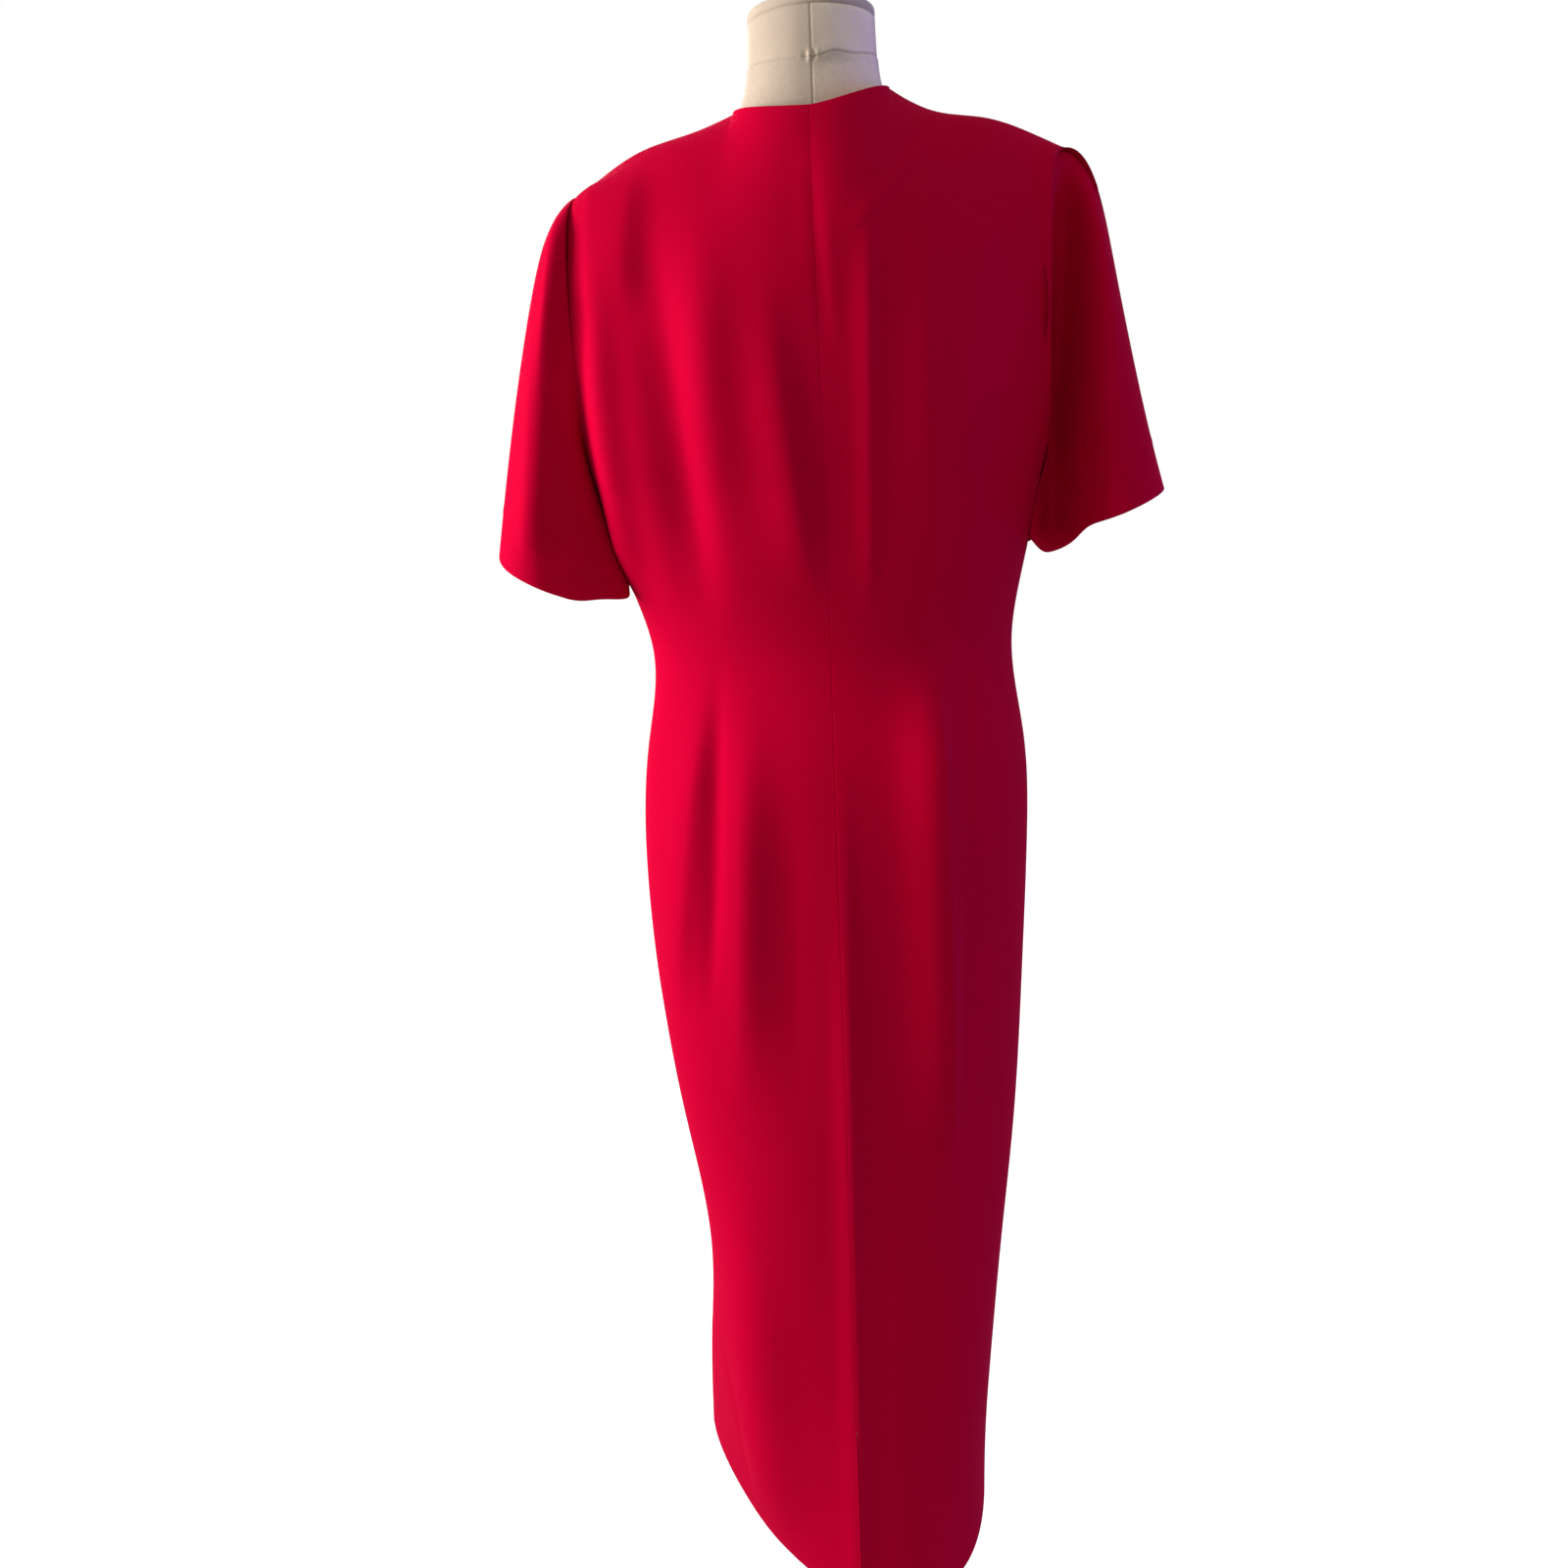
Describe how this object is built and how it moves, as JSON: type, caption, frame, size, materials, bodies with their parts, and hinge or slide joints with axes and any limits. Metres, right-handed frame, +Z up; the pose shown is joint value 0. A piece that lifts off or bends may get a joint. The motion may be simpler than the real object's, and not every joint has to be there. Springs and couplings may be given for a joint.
{
  "type": "coat dress on a dress form",
  "caption": "Collarless coat dress with a V neck, short loose sleeves, a centre back seam and a front row of buttons, worn by a limbless dress form on a round stand.",
  "frame": {"origin": "middle of the stand base's flat underside, on the floor", "axes": "+Z up along the pole and the dress; the dress faces -Y, its centre back seam is towards +Y; +X is the wearer's left"},
  "size_m": [0.5695, 0.2938, 1.5703],
  "materials": {
    "crepe": "matt crepe with a soft sheen",
    "buttons": "polished",
    "form_cover": "matt linen cover",
    "stand": "satin off-white paint"
  },
  "bodies": {
    "root": {"back_left": "crepe", "back_right": "crepe", "front_left": "crepe", "front_right": "crepe", "sleeve_left": "crepe", "sleeve_right": "crepe", "button_1": "buttons", "button_2": "buttons", "button_3": "buttons", "button_4": "buttons", "button_5": "buttons", "button_6": "buttons", "button_7": "buttons", "button_8": "buttons", "form_torso": "form_cover", "form_neck_cap": "form_cover", "stand_pole": "stand", "stand_base": "stand"}
  },
  "joints": []
}
